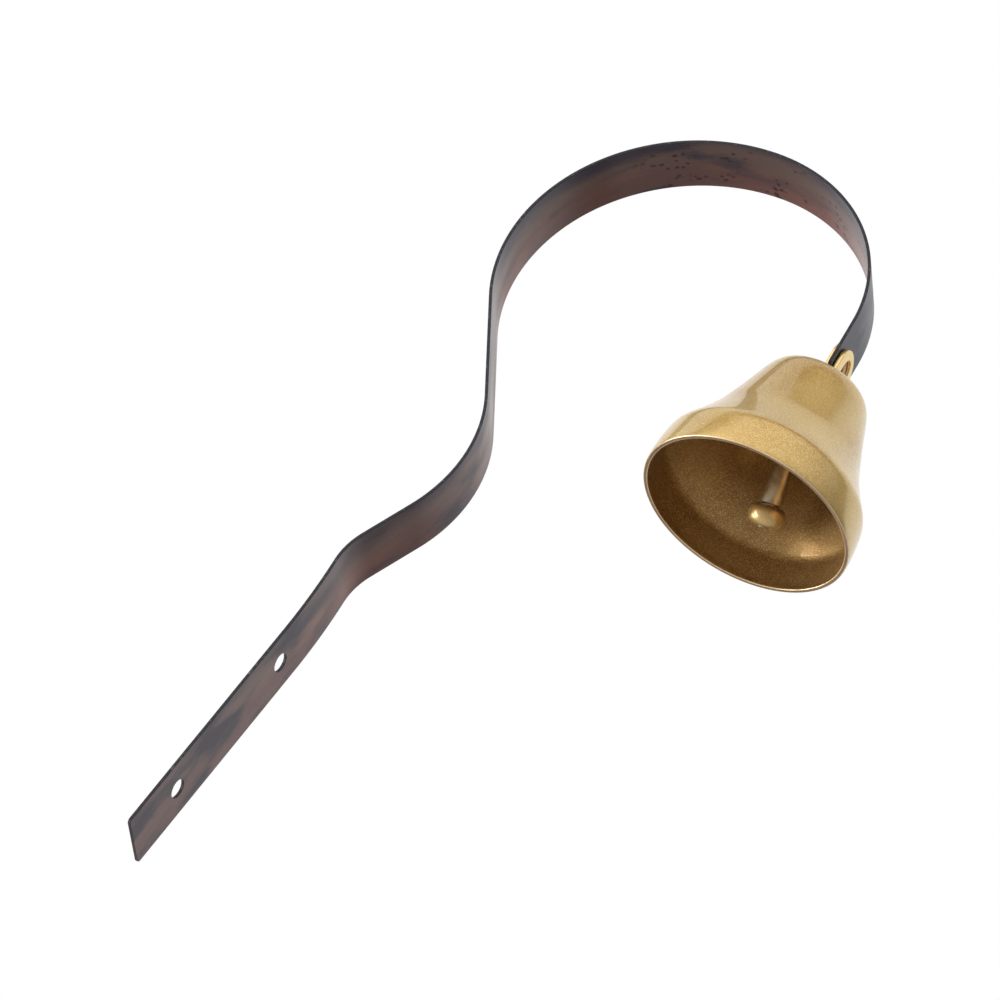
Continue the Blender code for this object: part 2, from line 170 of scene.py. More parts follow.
def new_piece(name, bm):
    """A mesh object of this name from a finished bmesh."""
    mesh = bpy.data.meshes.new(name)
    bm.to_mesh(mesh)
    bm.free()
    piece = bpy.data.objects.new(name, mesh)
    bpy.context.scene.collection.objects.link(piece)
    return piece


def new_finish(name, roughness, metallic):
    """A node material and its shader, with the values that are the same all over it."""
    finish = bpy.data.materials.new(name)
    finish.use_nodes = True
    shader = finish.node_tree.nodes["Principled BSDF"]
    shader.inputs["Roughness"].default_value = roughness
    shader.inputs["Metallic"].default_value = metallic
    return finish, finish.node_tree, shader


def add_noise(tree, vector, scale, detail=3.0, stretch=None):
    """A noise pattern on a vector, stretched by a scale along each axis."""
    noise = tree.nodes.new("ShaderNodeTexNoise")
    noise.inputs["Scale"].default_value = scale
    noise.inputs["Detail"].default_value = detail
    if stretch:
        mapping = tree.nodes.new("ShaderNodeMapping")
        mapping.inputs["Scale"].default_value = stretch
        tree.links.new(vector, mapping.inputs["Vector"])
        vector = mapping.outputs["Vector"]
    tree.links.new(vector, noise.inputs["Vector"])
    return noise.outputs["Fac"]


def add_band(tree, value, low, high, out_low=0.0, out_high=1.0):
    """A smooth step of a value, from low to high."""
    band = tree.nodes.new("ShaderNodeMapRange")
    band.interpolation_type = "SMOOTHSTEP"
    band.inputs["From Min"].default_value = low
    band.inputs["From Max"].default_value = high
    band.inputs["To Min"].default_value = out_low
    band.inputs["To Max"].default_value = out_high
    tree.links.new(value, band.inputs["Value"])
    return band.outputs["Result"]


def add_math(tree, first, second, operation="MULTIPLY"):
    """Two values, or a value and a number, put together by an operation."""
    joined = tree.nodes.new("ShaderNodeMath")
    joined.operation = operation
    for socket, value in zip(joined.inputs, (first, second)):
        if isinstance(value, (int, float)):
            socket.default_value = value
        else:
            tree.links.new(value, socket)
    return joined.outputs["Value"]


def add_mix(tree, amount, under, over):
    """One colour over another by an amount. Each is a colour or an output."""
    mix = tree.nodes.new("ShaderNodeMix")
    mix.data_type = "RGBA"
    tree.links.new(amount, mix.inputs["Factor"])
    for socket, colour in ((mix.inputs["A"], under), (mix.inputs["B"], over)):
        if isinstance(colour, tuple):
            socket.default_value = (*colour, 1)
        else:
            tree.links.new(colour, socket)
    return mix.outputs["Result"]


def add_bump(tree, shader, height, strength, distance):
    """Bumps on the surface from a height, with their strength and their depth in metres."""
    bump = tree.nodes.new("ShaderNodeBump")
    bump.inputs["Strength"].default_value = strength
    bump.inputs["Distance"].default_value = distance
    tree.links.new(height, bump.inputs["Height"])
    tree.links.new(bump.outputs["Normal"], shader.inputs["Normal"])


bm = bmesh.new()
bmesh.ops.create_grid(bm, x_segments=8, y_segments=8, size=FLOOR_SIZE / 2)
bmesh.ops.translate(bm, verts=bm.verts, vec=(0, 0, -FLOOR_DROP))
floor = new_piece("floor", bm)
finish, tree, shader = new_finish("pale_floor", 0.8, 0.0)
where = tree.nodes.new("ShaderNodeTexCoord").outputs["Object"]
mottle = add_noise(tree, where, 3.0)
tree.links.new(add_mix(tree, mottle, FLOOR_DARK, FLOOR_PALE), shader.inputs["Base Color"])
floor.data.materials.append(finish)


# The spring strip: one length of flat spring steel, blued by its tempering, with two screw holes
# punched in the leg. It is cut and punched flat, its edges are broken, and then it is bent round
# formers from the leg's end to the tail.
STRIP_WIDTH = 0.018
STRIP_THICKNESS = 0.0009
STRIP_EDGE_BREAK = 0.00014
LEG_CORNER = 0.0012
TAIL_CORNER = 0.002
SCREW_HOLE = 0.0054
SCREW_HOLES = (0.020, 0.0675)
RIVET_HOLE = 0.0032
RIVET_FROM_TAIL = 0.0058
BENDS = (
    (0.072, 0),
    (0.229, 6.5),
    (0.0225, -28.0),
    (0.0155, 0),
    (0.047, 53.0),
    (0.0345, 0),
    (0.053, -116.5),
    (0.046, -88.0),
    (0.0165, 0),
)
BEND_SPACING = 0.0012
INNER_FACE, OUTER_FACE, EDGE_FACE = range(3)


def bend_length(size, turn):
    """The length of a run: its own if it is straight, otherwise its radius through its turn."""
    return size * abs(math.radians(turn)) if turn else size


def along_strip(distance):
    """The (x, z) place and the heading, in radians, at a distance along the bent strip."""
    spot = Vector((STRIP_THICKNESS / 2, -sum(SCREW_HOLES) / 2))
    heading = math.radians(90)
    for size, turn in BENDS:
        run = bend_length(size, turn)
        part = min(distance, run) if (size, turn) != BENDS[-1] else distance
        swing = math.copysign(part / size, turn) if turn else 0.0
        chord = 2 * size * math.sin(abs(swing) / 2) if turn else part
        middle = heading + swing / 2
        spot = spot + chord * Vector((math.cos(middle), math.sin(middle)))
        heading += swing
        distance -= part
        if distance <= 0:
            break
    return spot, heading


def worked(piece, joined=(), cut=()):
    """The piece's mesh with some shapes joined to it and others cut out. All of them are used up."""
    for operation, tools in (("UNION", joined), ("DIFFERENCE", cut)):
        for tool in tools:
            step = piece.modifiers.new(tool.name, "BOOLEAN")
            step.operation = operation
            step.object = tool
    bm = bmesh.new()
    bm.from_object(piece, bpy.context.evaluated_depsgraph_get())
    for used in (piece, *joined, *cut):
        bpy.data.objects.remove(used)
    return bm


strip_length = sum(bend_length(*bend) for bend in BENDS)
bm = bmesh.new()
bmesh.ops.create_cube(bm, size=1)
bmesh.ops.scale(bm, vec=(strip_length, STRIP_WIDTH, STRIP_THICKNESS), verts=bm.verts)
bmesh.ops.translate(bm, vec=(strip_length / 2, 0, 0), verts=bm.verts)
for end, radius in ((0.0, LEG_CORNER), (strip_length, TAIL_CORNER)):
    corners = [
        edge for edge in bm.edges
        if all(abs(vert.co.x - end) < 1e-6 for vert in edge.verts)
        and abs(edge.verts[0].co.y - edge.verts[1].co.y) < 1e-6
    ]
    bmesh.ops.bevel(
        bm, geom=corners, offset=radius, offset_type="OFFSET", segments=6,
        profile=0.5, affect="EDGES", material=-1,
    )
blank = new_piece("strip_blank", bm)
punches = []
holes = [(place, SCREW_HOLE) for place in SCREW_HOLES] + [(strip_length - RIVET_FROM_TAIL, RIVET_HOLE)]
for at, width in holes:
    bm = bmesh.new()
    bmesh.ops.create_cone(
        bm, cap_ends=True, segments=48, radius1=width / 2, radius2=width / 2,
        depth=4 * STRIP_THICKNESS,
    )
    bmesh.ops.translate(bm, vec=(at, 0, 0), verts=bm.verts)
    punches.append(new_piece("punch", bm))
bm = worked(blank, cut=punches)
broken = [edge for edge in bm.edges if edge.is_manifold and edge.calc_face_angle() > math.radians(60)]
bmesh.ops.bevel(
    bm, geom=broken, offset=STRIP_EDGE_BREAK, offset_type="OFFSET", segments=2,
    profile=0.5, affect="EDGES", material=-1,
)
straight_end = BENDS[0][0]
slices = int((strip_length - straight_end - BENDS[-1][0]) / BEND_SPACING)
for i in range(slices + 1):
    bmesh.ops.bisect_plane(
        bm, geom=bm.verts[:] + bm.edges[:] + bm.faces[:], dist=1e-7,
        plane_co=(straight_end + i * BEND_SPACING, 0, 0), plane_no=(1, 0, 0),
    )
bmesh.ops.triangulate(bm, faces=[face for face in bm.faces if len(face.verts) > 4])
along = bm.loops.layers.uv.new("along_strip")
for face in bm.faces:
    facing_z = face.normal.z
    face.material_index = INNER_FACE if facing_z < -0.9 else OUTER_FACE if facing_z > 0.9 else EDGE_FACE
    face.smooth = True
    for loop in face.loops:
        loop[along].uv = loop.vert.co.xy
for vert in bm.verts:
    spot, heading = along_strip(vert.co.x)
    outward = Vector((-math.sin(heading), math.cos(heading)))
    spot = spot + vert.co.z * outward
    vert.co = (spot.x, vert.co.y, spot.y)
strip = new_piece("spring_strip", bm)
strip.data.set_sharp_from_angle(angle=math.radians(15))

TEMPER_BROWN = (0.120, 0.054, 0.047)
TEMPER_RED = (0.195, 0.074, 0.057)
TEMPER_BLUE = (0.036, 0.023, 0.042)
TEMPER_OLIVE = (0.130, 0.082, 0.066)
OUTER_DARK = (0.021, 0.024, 0.036)
OUTER_LIGHT = (0.037, 0.042, 0.066)
OUTER_GRAIN = (0.085, 0.088, 0.135)
ROLLED_STREAK = (0.02, 0.018, 0.02)
EDGE_DARK = (0.028, 0.028, 0.036)
EDGE_BARE = (0.10, 0.10, 0.12)
RUST = (0.045, 0.004, 0.009)
CLOUD_STRETCH = (38, 110, 1)
DRIFT_STRETCH = (16, 60, 1)
STREAK_STRETCH = (90, 2600, 1)
GRAIN_STRETCH = (2600, 2600, 1)
SPOT_STRETCH = (420, 560, 1)
PATCH_STRETCH = (80, 120, 1)
RAGGED_STRETCH = (900, 1100, 1)
RAGGED_DEPTH = 0.42
EDGE_WANDER = 0.016
OLIVE_EDGE = (0.004, 0.013)
OLIVE_AMOUNT = 0.8
BLUE_EDGE = (0.0105, 0.0165)
BLUE_EDGE_START = (0.08, 0.14)
BLUE_EDGE_ON_LEG = 0.35
LEG_BLUE_TO = 0.105
LEG_BLUE_FULL = 0.07
RUST_FROM = 0.262
RUST_TO = 0.372
RUST_FADE = 0.02
INNER_COAT = 0.36
OUTER_COAT = 0.16
STEEL_COAT_ROUGHNESS = 0.22
FINE_BUMP = 0.00003


def rust_spots(tree, flat, along_it):
    """Ragged specks of rust in patches, on the stretch from RUST_FROM to RUST_TO."""
    spots = tree.nodes.new("ShaderNodeTexVoronoi")
    spots.inputs["Scale"].default_value = 1.0
    pitted = tree.nodes.new("ShaderNodeMapping")
    pitted.inputs["Scale"].default_value = SPOT_STRETCH
    tree.links.new(flat, pitted.inputs["Vector"])
    tree.links.new(pitted.outputs["Vector"], spots.inputs["Vector"])
    patch = add_noise(tree, flat, 1.0, 3.0, PATCH_STRETCH)
    ragged = add_noise(tree, flat, 1.0, 3.0, RAGGED_STRETCH)
    begins = add_band(tree, along_it, RUST_FROM, RUST_FROM + RUST_FADE)
    ends = add_band(tree, along_it, RUST_TO, RUST_TO - RUST_FADE)
    speck = add_math(tree, spots.outputs["Distance"], add_math(tree, ragged, RAGGED_DEPTH), "SUBTRACT")
    rust = add_math(tree, add_band(tree, speck, 0.17, 0.08), add_band(tree, patch, 0.50, 0.57))
    return add_math(tree, rust, add_math(tree, begins, ends))


def inner_temper(tree, flat, clouds, drift):
    """Brown and red, turning olive and then blue towards one edge, bluer on the leg, with rust."""
    split = tree.nodes.new("ShaderNodeSeparateXYZ")
    tree.links.new(flat, split.inputs["Vector"])
    along_it, across_it = split.outputs["X"], split.outputs["Y"]
    colour = add_mix(tree, add_band(tree, drift, 0.42, 0.62), TEMPER_BROWN, TEMPER_RED)
    wander = add_math(tree, add_math(tree, drift, EDGE_WANDER), across_it, "SUBTRACT")
    edgeward = add_band(tree, wander, *OLIVE_EDGE)
    colour = add_mix(tree, add_math(tree, edgeward, OLIVE_AMOUNT), colour, TEMPER_OLIVE)
    past_leg = add_band(tree, along_it, *BLUE_EDGE_START, BLUE_EDGE_ON_LEG)
    blue_edge = add_math(tree, add_band(tree, wander, *BLUE_EDGE), past_leg)
    colour = add_mix(tree, blue_edge, colour, TEMPER_BLUE)
    blue = add_math(tree, add_band(tree, clouds, 0.50, 0.66), add_band(tree, drift, 0.60, 0.44))
    colour = add_mix(tree, blue, colour, TEMPER_BLUE)
    on_leg = add_band(tree, along_it, LEG_BLUE_TO, LEG_BLUE_FULL)
    leg_blue = add_math(tree, add_band(tree, clouds, 0.46, 0.62), on_leg)
    colour = add_mix(tree, leg_blue, colour, TEMPER_BLUE)
    return add_mix(tree, rust_spots(tree, flat, along_it), colour, RUST)


def blued_steel(name, inner):
    """Tempering colours run in soft clouds along the strip: browner inside the loop, blue outside."""
    finish, tree, shader = new_finish(name, 0.42, 0.80)
    flat = tree.nodes.new("ShaderNodeTexCoord").outputs["UV"]
    clouds = add_noise(tree, flat, 1.0, 4.0, CLOUD_STRETCH)
    drift = add_noise(tree, flat, 1.0, 2.0, DRIFT_STRETCH)
    streaks = add_noise(tree, flat, 1.0, 5.0, STREAK_STRETCH)
    grain = add_noise(tree, flat, 1.0, 2.0, GRAIN_STRETCH)
    if inner:
        colour = inner_temper(tree, flat, clouds, drift)
    else:
        colour = add_mix(tree, add_band(tree, clouds, 0.35, 0.70), OUTER_DARK, OUTER_LIGHT)
        colour = add_mix(tree, add_band(tree, grain, 0.45, 0.70, 0.0, 0.6), colour, OUTER_GRAIN)
    colour = add_mix(tree, add_band(tree, streaks, 0.35, 0.75, 0.0, 0.22), colour, ROLLED_STREAK)
    tree.links.new(colour, shader.inputs["Base Color"])
    tree.links.new(add_band(tree, clouds, 0.3, 0.7, 0.36, 0.50), shader.inputs["Roughness"])
    shader.inputs["Coat Weight"].default_value = INNER_COAT if inner else OUTER_COAT
    shader.inputs["Coat Roughness"].default_value = STEEL_COAT_ROUGHNESS
    add_bump(tree, shader, add_math(tree, grain, streaks, "ADD"), 0.35, FINE_BUMP)
    return finish


def sheared_edge():
    """The sheared edges, near black with a little bare steel worn through."""
    finish, tree, shader = new_finish("sheared_edge", 0.45, 0.6)
    where = tree.nodes.new("ShaderNodeTexCoord").outputs["Object"]
    wear = add_noise(tree, where, 900.0, 3.0)
    colour = add_mix(tree, add_band(tree, wear, 0.55, 0.75), EDGE_DARK, EDGE_BARE)
    tree.links.new(colour, shader.inputs["Base Color"])
    add_bump(tree, shader, wear, 0.3, FINE_BUMP)
    return finish


strip.data.materials.append(blued_steel("blued_steel_inner", True))
strip.data.materials.append(blued_steel("blued_steel_outer", False))
strip.data.materials.append(sheared_edge())
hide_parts("strip_wall_leg", "strip_loop")
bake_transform(strip)


# The bell: thin cast brass sprayed inside and out with gold flake paint under a clear coat, with a
# plain round lip band, a hollow shoulder and a domed crown. It is turned about its own axis, which
# leans with the strip's tail.
MOUTH = 0.030
RIDGE = (0.0293, 0.0109)
LIP_PULL = (0.0304, 0.0030)
SHOULDER = (0.0215, 0.0254)
SHOULDER_PULL = (0.0233, 0.0204)
CONE_TOP = (0.0202, 0.0290)
CROWN_PULLS = ((0.0126, 0.0501), (0.0177, 0.0465))
BELL_HEIGHT = 0.0465
BELL_WALL = 0.0012
RIM_ROUND = 0.00022
RIM_ANGLES = (0, 0.4, 0.8, 1.2, math.pi / 2)
CROWN_HOLE = 0.0028
BELL_STEPS = 160
PAINT_FACE, RIM_FACE, INSIDE_FACE, LAND_FACE = range(4)
YOKE_OFFSET = 0.00196
RIVET_UP = 0.008

rock = next(joint for joint in frame["joints"] if joint["name"] == "bell_rock")
tail_heading = along_strip(strip_length)[1]
hang = Matrix.Rotation(-(tail_heading + math.pi / 2), 4, "Y")
crown_top = Vector(rock["pos_m"]) - hang @ Vector((YOKE_OFFSET, 0, RIVET_UP))
bell_frame = Matrix.Translation(crown_top) @ hang


def curve_between(points, steps):
    """Points on the smooth curve drawn from the first point to the last by the ones between."""
    drawn = []
    for i in range(steps + 1):
        t = i / steps
        level = [Vector(point) for point in points]
        while len(level) > 1:
            level = [a.lerp(b, t) for a, b in zip(level, level[1:])]
        drawn.append(level[0])
    return drawn


def offset_inward(points, wall):
    """The same line moved to its right-hand side by the wall."""
    moved = []
    for i, point in enumerate(points):
        run = points[min(i + 1, len(points) - 1)] - points[max(i - 1, 0)]
        moved.append(point + wall * Vector((run.y, -run.x)).normalized())
    return moved


def turn_round(bm, outline, steps, closed=True):
    """Spins an outline of (radius, height) points round the Z axis."""
    verts = [bm.verts.new((point[0], 0, point[1])) for point in outline]
    pairs = zip(verts, verts[1:] + verts[:1]) if closed else zip(verts, verts[1:])
    edges = [bm.edges.new(pair) for pair in pairs]
    bmesh.ops.spin(
        bm, geom=verts + edges, cent=(0, 0, 0), axis=(0, 0, 1), angle=math.tau,
        steps=steps, use_merge=True,
    )
    bmesh.ops.remove_doubles(bm, verts=bm.verts, dist=1e-7)
    bmesh.ops.recalc_face_normals(bm, faces=bm.faces)


crown = curve_between((CONE_TOP, *CROWN_PULLS, (0, BELL_HEIGHT)), 24)[::-1]
crown = [Vector((CROWN_HOLE, BELL_HEIGHT))] + [point for point in crown if point.x > CROWN_HOLE + 0.0004]
flare = curve_between((SHOULDER, SHOULDER_PULL, RIDGE), 16)
lip = curve_between((RIDGE, LIP_PULL, (MOUTH, 0)), 8)
outside = crown + flare + lip[1:]
inside = offset_inward(outside, BELL_WALL)
corner = outside.index(flare[-1])
rounding = curve_between((outside[corner - 1], outside[corner], outside[corner + 1]), 6)
outside[corner - 1:corner + 2] = rounding
inside[0] = Vector((CROWN_HOLE, BELL_HEIGHT - BELL_WALL))
outer_foot, inner_foot = outside.pop(), inside.pop()
rim = [
    outer_foot + Vector((-RIM_ROUND + RIM_ROUND * math.cos(a), RIM_ROUND - RIM_ROUND * math.sin(a)))
    for a in RIM_ANGLES
]
inner_rim_x = inner_foot.x + RIM_ROUND
rim += [
    Vector((inner_rim_x - RIM_ROUND * math.sin(a), RIM_ROUND - RIM_ROUND * math.cos(a)))
    for a in RIM_ANGLES
]
outline = outside + rim + inside[::-1]
bm = bmesh.new()
turn_round(bm, outline, BELL_STEPS)
for face in bm.faces:
    face.smooth = True
    middle = face.calc_center_median()
    inward = face.normal.x * middle.x + face.normal.y * middle.y < 0 or face.normal.z < -0.9
    on_rim = LAND_FACE if face.normal.z < -0.99 else RIM_FACE
    off_rim = INSIDE_FACE if inward else PAINT_FACE
    face.material_index = on_rim if middle.z < RIM_ROUND * 1.05 else off_rim
bmesh.ops.translate(bm, vec=(0, 0, -BELL_HEIGHT), verts=bm.verts)
bmesh.ops.transform(bm, matrix=bell_frame, verts=bm.verts)
bell = new_piece("painted_bell", bm)
bell.data.set_sharp_from_angle(angle=math.radians(28))

GOLD_DEEP = (0.52, 0.320, 0.085)
GOLD_MID = (0.64, 0.440, 0.140)
GOLD_LIGHT = (0.80, 0.61, 0.27)
# Painted shade: the inside of the bell gets a darker copy of the same gold paint, for the shade inside it.
SHADED_INSIDE_DEEP = (0.28, 0.145, 0.040)
SHADED_INSIDE_MID = (0.37, 0.215, 0.072)
SHADED_INSIDE_LIGHT = (0.66, 0.47, 0.21)
# Painted highlight: the rounded rim edges get a paler copy of the gold paint, for the light lines they catch.
RIM_HIGHLIGHT_GOLDS = ((0.70, 0.50, 0.28), (0.80, 0.60, 0.37), (0.92, 0.78, 0.56))
# Painted shade: the flat land of the rim, facing down, gets a darker copy of the gold paint.
LAND_SHADE_GOLDS = ((0.20, 0.110, 0.040), (0.27, 0.155, 0.065), (0.45, 0.30, 0.15))
FLAKE_PITCH = 0.00017
PAINT_COAT = (0.85, 0.06)
INSIDE_COAT = (0.25, 0.20)


def gold_paint(name, deep, mid, light, sparkle):
    """Gold paint: cells of metal flake that each catch the light a little differently, under clear coat."""
    finish, tree, shader = new_finish(name, 0.40, 0.80)
    where = tree.nodes.new("ShaderNodeTexCoord").outputs["Object"]
    flakes = tree.nodes.new("ShaderNodeTexVoronoi")
    flakes.inputs["Scale"].default_value = 1 / FLAKE_PITCH
    tree.links.new(where, flakes.inputs["Vector"])
    tint = tree.nodes.new("ShaderNodeSeparateColor")
    tree.links.new(flakes.outputs["Color"], tint.inputs["Color"])
    cloud = add_noise(tree, where, 60.0, 3.0)
    colour = add_mix(tree, add_band(tree, cloud, 0.35, 0.65), deep, mid)
    colour = add_mix(tree, add_band(tree, tint.outputs["Red"], 0.55, 1.0, 0.0, sparkle), colour, light)
    tree.links.new(colour, shader.inputs["Base Color"])
    tree.links.new(add_band(tree, tint.outputs["Green"], 0.0, 1.0, 0.28, 0.42), shader.inputs["Roughness"])
    shader.inputs["Coat Weight"].default_value = PAINT_COAT[0]
    shader.inputs["Coat Roughness"].default_value = PAINT_COAT[1]
    add_bump(tree, shader, tint.outputs["Blue"], 0.6, 0.00006)
    return finish


paint = gold_paint("gold_flake_paint", GOLD_DEEP, GOLD_MID, GOLD_LIGHT, 0.9)
# The inside copy is darker all over: painted shade inside the bell.
shaded_inside_paint = gold_paint("gold_paint_inside_painted_shade", SHADED_INSIDE_DEEP, SHADED_INSIDE_MID, SHADED_INSIDE_LIGHT, 0.9)
inside_shader = shaded_inside_paint.node_tree.nodes["Principled BSDF"]
inside_shader.inputs["Coat Weight"].default_value = INSIDE_COAT[0]
inside_shader.inputs["Coat Roughness"].default_value = INSIDE_COAT[1]
# Paler copy on the rounded rim edges: painted highlight.
rim_highlight_paint = gold_paint("rim_edge_painted_highlight", *RIM_HIGHLIGHT_GOLDS, 0.4)
# Darker copy on the flat rim land: painted shade.
land_shade_paint = gold_paint("rim_land_painted_shade", *LAND_SHADE_GOLDS, 0.5)
for finish in (paint, rim_highlight_paint, shaded_inside_paint, land_shade_paint):
    bell.data.materials.append(finish)
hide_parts("bell_shell")
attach(bell, "bell")


# The crown yoke: a brass disc on the crown with two arched ears that stand astride the strip's
# tail. Each ear is a rounded band round a sunk pocket, where the rivet's head lies.
YOKE_BASE = (0.0085, 0.0003, 0.0013)
YOKE_BASE_BREAK = 0.0003
YOKE_BORE_ENDS = (-0.001, 0.003)
ROUND_SEGMENTS = 64
EAR_HALF_WIDTH = 0.007
FRONT_EAR_CREST = 0.0139
REAR_EAR_CREST = 0.0155
EAR_INNER = 0.0006
EAR_THICKNESS = 0.00125
EAR_BAND = 0.0022
EAR_ROUND = 0.00028
POCKET_NARROWING = 0.62
POCKET_DEPTH = 0.0007
ARCH_STEPS = 24
CREASE = math.radians(40)


def arched_ear(side, crest):
    """One ear: an arch drawn out to its thickness, its outer face inset and sunk, its edges rounded."""
    bm = bmesh.new()
    straight = crest - EAR_HALF_WIDTH
    foot = (YOKE_BASE[1] + YOKE_BASE[2]) / 2
    start = YOKE_OFFSET + side * EAR_INNER
    first = bm.verts.new((start, -EAR_HALF_WIDTH, foot))
    second = bm.verts.new((start, -EAR_HALF_WIDTH, straight))
    bm.edges.new((first, second))
    bmesh.ops.spin(
        bm, geom=[second], cent=(start, 0, straight), axis=(1, 0, 0), angle=-math.pi, steps=ARCH_STEPS
    )
    bm.verts.ensure_lookup_table()
    last = max(bm.verts, key=lambda vert: (vert.co.y, -vert.co.z))
    low = bm.verts.new((start, EAR_HALF_WIDTH, foot))
    bm.edges.new((last, low))
    bm.edges.new((low, first))
    face = bmesh.ops.contextual_create(bm, geom=bm.edges[:])["faces"][0]
    drawn = bmesh.ops.extrude_face_region(bm, geom=[face])["geom"]
    verts = [item for item in drawn if isinstance(item, bmesh.types.BMVert)]
    bmesh.ops.translate(bm, vec=(side * EAR_THICKNESS, 0, 0), verts=verts)
    bmesh.ops.recalc_face_normals(bm, faces=bm.faces)
    outer = max(bm.faces, key=lambda item: side * item.calc_center_median().x)
    bmesh.ops.inset_region(bm, faces=[outer], thickness=EAR_BAND, use_even_offset=True)
    bmesh.ops.scale(bm, vec=(1, POCKET_NARROWING, 1), verts=outer.verts)
    sunk = bmesh.ops.extrude_face_region(bm, geom=[outer])["geom"]
    verts = [item for item in sunk if isinstance(item, bmesh.types.BMVert)]
    bmesh.ops.translate(bm, vec=(-side * POCKET_DEPTH, 0, 0), verts=verts)
    if outer.is_valid:
        bmesh.ops.delete(bm, geom=[outer], context="FACES_ONLY")
    bmesh.ops.recalc_face_normals(bm, faces=bm.faces)
    sharp = [edge for edge in bm.edges if edge.is_manifold and edge.calc_face_angle() > math.radians(50)]
    bmesh.ops.bevel(
        bm, geom=sharp, offset=EAR_ROUND, offset_type="OFFSET", segments=3, profile=0.5,
        affect="EDGES", clamp_overlap=True, material=-1,
    )
    return bm


def cylinder_between(radius, low, high):
    """A closed round bar up the Z axis from low to high."""
    bm = bmesh.new()
    bmesh.ops.create_cone(
        bm, cap_ends=True, segments=ROUND_SEGMENTS, radius1=radius, radius2=radius, depth=high - low
    )
    bmesh.ops.translate(bm, vec=(0, 0, (low + high) / 2), verts=bm.verts)
    return bm


bm = cylinder_between(*YOKE_BASE)
broken = [edge for edge in bm.edges if edge.calc_face_angle() > math.radians(60)]
bmesh.ops.bevel(
    bm, geom=broken, offset=YOKE_BASE_BREAK, offset_type="OFFSET", segments=2, profile=0.5,
    affect="EDGES", material=-1,
)
base = new_piece("yoke_base", bm)
ears = [
    new_piece("ear", arched_ear(side, crest))
    for side, crest in ((1, FRONT_EAR_CREST), (-1, REAR_EAR_CREST))
]
bore = new_piece("yoke_bore", cylinder_between(CROWN_HOLE, *YOKE_BORE_ENDS))
bm = worked(base, joined=ears, cut=[bore])
# The pocket floors get the second, darker brass: painted shade in the sunk pockets.
pocket_floor = EAR_INNER + EAR_THICKNESS - POCKET_DEPTH
for face in bm.faces:
    face.smooth = True
    off_middle = abs(face.calc_center_median().x - YOKE_OFFSET)
    on_floor = abs(off_middle - pocket_floor) < EAR_ROUND / 4 and abs(face.normal.x) > 0.9
    face.material_index = 1 if on_floor else 0
bmesh.ops.transform(bm, matrix=bell_frame, verts=bm.verts)
yoke = new_piece("brass_yoke", bm)
yoke.data.set_sharp_from_angle(angle=CREASE)

YOKE_BRASS = ((0.80, 0.58, 0.23), (0.95, 0.76, 0.38))
# Painted shade: a darker copy of the brass for the pocket floors.
POCKET_SHADE_BRASS = ((0.26, 0.12, 0.03), (0.40, 0.21, 0.06))


def satin_brass(name, deep, light):
    """Rubbed brass, from its deeper tarnished tone to its lighter one. Its darker copies for the pockets and
    the rivet are painted shade.
    """
    finish, tree, shader = new_finish(name, 0.30, 0.9)
    where = tree.nodes.new("ShaderNodeTexCoord").outputs["Object"]
    tarnish = add_noise(tree, where, 500.0, 4.0)
    colour = add_mix(tree, add_band(tree, tarnish, 0.35, 0.7), deep, light)
    tree.links.new(colour, shader.inputs["Base Color"])
    tree.links.new(add_band(tree, tarnish, 0.3, 0.7, 0.24, 0.40), shader.inputs["Roughness"])
    add_bump(tree, shader, add_noise(tree, where, 3000.0, 2.0), 0.15, FINE_BUMP)
    return finish


yoke.data.materials.append(satin_brass("yoke_brass", *YOKE_BRASS))
yoke.data.materials.append(satin_brass("pocket_brass_painted_shade", *POCKET_SHADE_BRASS))
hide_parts("crown_yoke")
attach(yoke, "bell")


# The rivet: a brass pin through both ears and the tail, spread into a low dome in each pocket.
# It stands square to the strip's face.
RIVET_SHANK = 0.0013
RIVET_HEAD = 0.0017
RIVET_SEAT = 0.00116
RIVET_DOME = 0.0004
# Painted shade: the rivet heads lie down in the pockets and get a darker copy of the brass.
RIVET_SHADE_BRASS = ((0.34, 0.17, 0.045), (0.52, 0.30, 0.09))

bm = bmesh.new()
half = [
    (RIVET_SHANK, 0),
    (RIVET_SHANK, RIVET_SEAT),
    (RIVET_HEAD, RIVET_SEAT),
    (RIVET_HEAD, RIVET_SEAT + RIVET_DOME * 0.4),
    (RIVET_HEAD * 0.86, RIVET_SEAT + RIVET_DOME * 0.7),
    (RIVET_HEAD * 0.5, RIVET_SEAT + RIVET_DOME * 0.94),
    (0, RIVET_SEAT + RIVET_DOME),
]
outline = [(radius, -height) for radius, height in half[:0:-1]] + half[1:]
turn_round(bm, outline, 40, closed=False)
for face in bm.faces:
    face.smooth = True
bmesh.ops.rotate(bm, cent=(0, 0, 0), matrix=Matrix.Rotation(math.pi / 2, 3, "Y"), verts=bm.verts)
bmesh.ops.translate(bm, vec=(YOKE_OFFSET, 0, RIVET_UP), verts=bm.verts)
bmesh.ops.transform(bm, matrix=bell_frame, verts=bm.verts)
rivet = new_piece("brass_rivet", bm)
rivet.data.set_sharp_from_angle(angle=CREASE)
rivet.data.materials.append(satin_brass("rivet_brass_painted_shade", *RIVET_SHADE_BRASS))
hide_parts("yoke_rivet")
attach(rivet, "bell")


# The staple, washer and nut under the crown, and the link that hangs from the staple: zinc-plated
# steel. The threaded staple comes down through the crown, and the nut and washer draw the yoke and
# the bell together on it.
ZINC_DULL = (0.34, 0.31, 0.27)
ZINC_BRIGHT = (0.56, 0.53, 0.47)


